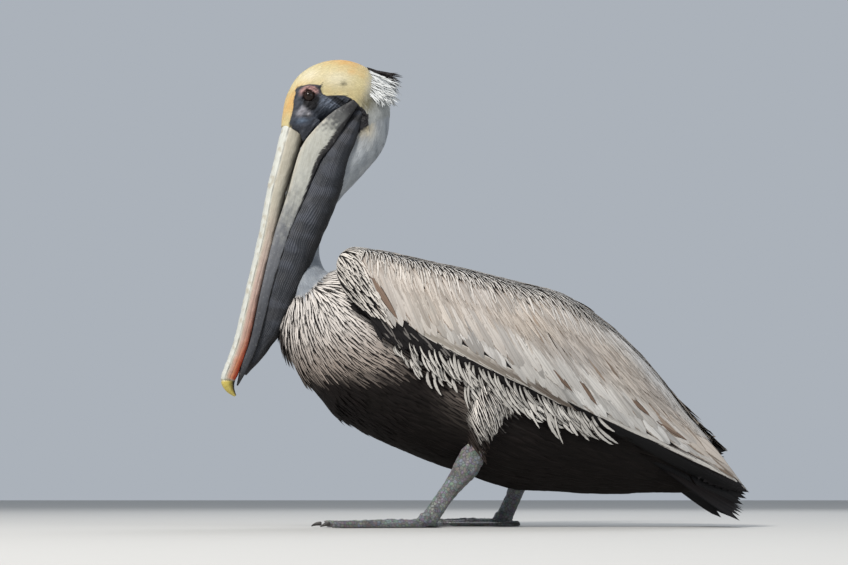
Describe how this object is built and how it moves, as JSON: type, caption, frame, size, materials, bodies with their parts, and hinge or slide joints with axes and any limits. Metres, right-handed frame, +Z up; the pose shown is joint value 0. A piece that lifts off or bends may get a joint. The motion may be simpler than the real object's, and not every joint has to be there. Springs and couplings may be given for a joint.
{
  "type": "brown pelican",
  "caption": "Adult brown pelican standing at rest with folded wings, its head drawn back and its long bill laid down against its breast.",
  "frame": {"origin": "on the floor, under the centre of the bird's bounding box", "axes": "+Z up, +X towards the tail; the bird faces -X, and its left side is -Y"},
  "size_m": [0.5682, 0.2266, 0.5166],
  "materials": {
    "crown_plumage": "short soft feathers, pale yellow washed with orange over the crown and forehead",
    "white_plumage": "short soft white feathers, greyer in their roots",
    "body_plumage": "narrow pale-centred feathers on the breast, plain dark brown below",
    "covert_plumage": "silvery grey-brown lance-shaped feathers with dark shafts and edges",
    "dark_plumage": "blackish flight and tail feathers with a low sheen",
    "eye": "wet, dark brown with a black pupil",
    "bill_horn": "smooth cream horn with long grooves, pink then orange towards the tip",
    "nail_horn": "smooth olive-yellow horn",
    "jaw_horn": "pale cream horn turning grey towards the tip",
    "pouch_skin": "bare slate-grey skin in fine lengthwise folds",
    "leg_skin": "bare grey scaly skin",
    "claw_horn": "dark horn"
  },
  "bodies": {
    "root": {"head": "crown_plumage", "crest": "white_plumage", "neck_upper": "white_plumage", "neck_lower": "white_plumage", "trunk": "body_plumage", "wing_left": "covert_plumage", "wing_right": "covert_plumage", "flight_feathers_left": "dark_plumage", "flight_feathers_right": "dark_plumage", "tail": "dark_plumage", "thigh_left": "body_plumage", "thigh_right": "body_plumage", "eye_left": "eye", "eye_right": "eye", "bill_upper": "bill_horn", "bill_nail": "nail_horn", "bill_lower": "jaw_horn", "pouch": "pouch_skin", "shank_left": "leg_skin", "shank_right": "leg_skin", "foot_left": "leg_skin", "foot_right": "leg_skin", "claw_left_outer": "claw_horn", "claw_left_middle": "claw_horn", "claw_left_inner": "claw_horn", "claw_left_hind": "claw_horn", "claw_right_outer": "claw_horn", "claw_right_middle": "claw_horn", "claw_right_inner": "claw_horn", "claw_right_hind": "claw_horn"}
  },
  "joints": []
}
